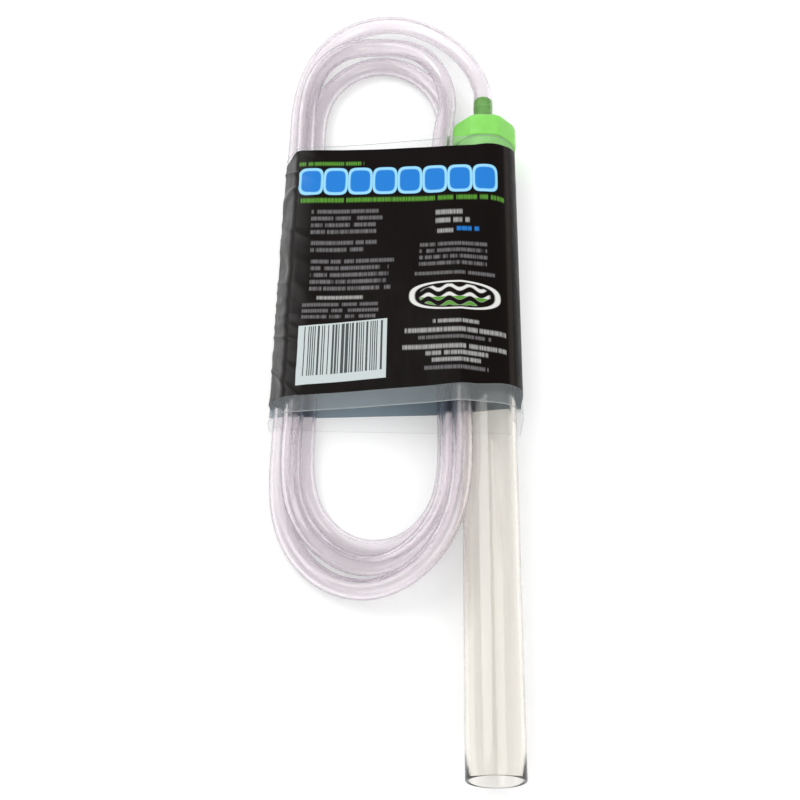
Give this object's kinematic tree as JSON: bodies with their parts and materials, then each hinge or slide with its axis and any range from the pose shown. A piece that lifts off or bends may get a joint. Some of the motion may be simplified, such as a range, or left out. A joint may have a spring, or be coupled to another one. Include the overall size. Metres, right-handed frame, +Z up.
{
  "type": "gravel vacuum siphon",
  "caption": "Aquarium gravel vacuum: clear gravel tube in a barbed hose cap, with its clear hose wound in a long loop and held by a printed film sleeve.",
  "frame": {"origin": "on the surface it lies on, below the middle of the box round the tube, the cap and the sleeve", "axes": "+Y from the tube's mouth towards the hose cap, +X from the hose loop towards the tube, +Z up"},
  "size_m": [0.12, 0.4224, 0.0347],
  "materials": {
    "clear_tube": "clear rigid plastic",
    "green_cap": "moulded satin plastic",
    "clear_hose": "clear flexible vinyl",
    "printed_film": "gloss printed film",
    "film_back": "gloss printed film, seen from inside"
  },
  "bodies": {
    "hose_and_cap": {"hose_cap": "green_cap", "hose_lead": "clear_hose", "hose_coil": "clear_hose"},
    "gravel_tube": {"gravel_tube": "clear_tube"},
    "film_sleeve": {"sleeve_front_panel": "printed_film", "sleeve_back_panel": "film_back"}
  },
  "joints": [
    {"name": "tube_pull", "type": "slide", "parent": "hose_and_cap", "child": "gravel_tube", "axis": [0, -1, 0], "range_m": [0, 0.03]},
    {"name": "sleeve_slide", "type": "slide", "parent": "hose_and_cap", "child": "film_sleeve", "axis": [0, -1, 0], "range_m": [0, 0.325]}
  ]
}
